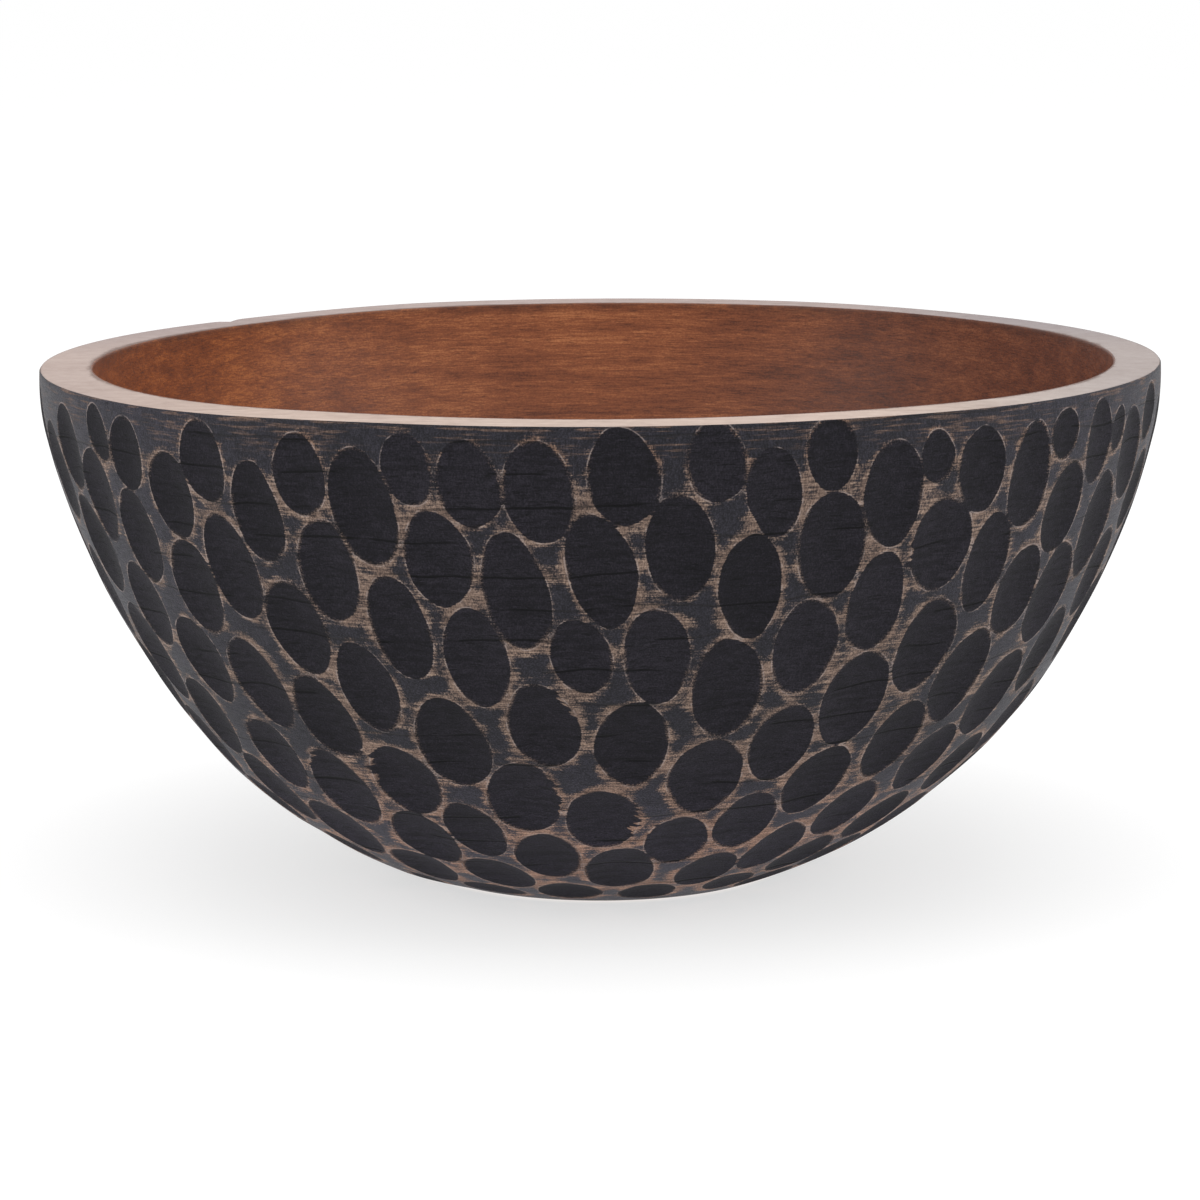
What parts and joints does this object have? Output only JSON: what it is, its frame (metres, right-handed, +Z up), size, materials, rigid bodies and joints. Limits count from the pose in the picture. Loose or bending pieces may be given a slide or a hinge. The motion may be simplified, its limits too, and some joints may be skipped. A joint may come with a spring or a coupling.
{
  "type": "carved wooden bowl",
  "caption": "Deep round wooden bowl with a gouge-carved, black-stained outside, a flat bare-wood rim, a smooth lacquered hollow and a small flat foot.",
  "frame": {"origin": "centre of the foot's underside, on the surface the bowl stands on", "axes": "+Z up along the bowl's axis, +X to the right along the wood's grain, +Y to the back"},
  "size_m": [0.3003, 0.3004, 0.1401],
  "materials": {
    "bare_wood": "sanded and left matt, pale, with end grain at the left and right of the rim",
    "black_stained_wood": "matt black stain in the gouge hollows, sanded through to pale wood along the ridges",
    "red_brown_lacquered_wood": "satin red-brown lacquer over straight grain"
  },
  "bodies": {
    "root": {"bowl_body": "bare_wood", "exterior_black_stain": "black_stained_wood", "interior_lacquer": "red_brown_lacquered_wood"}
  },
  "joints": []
}
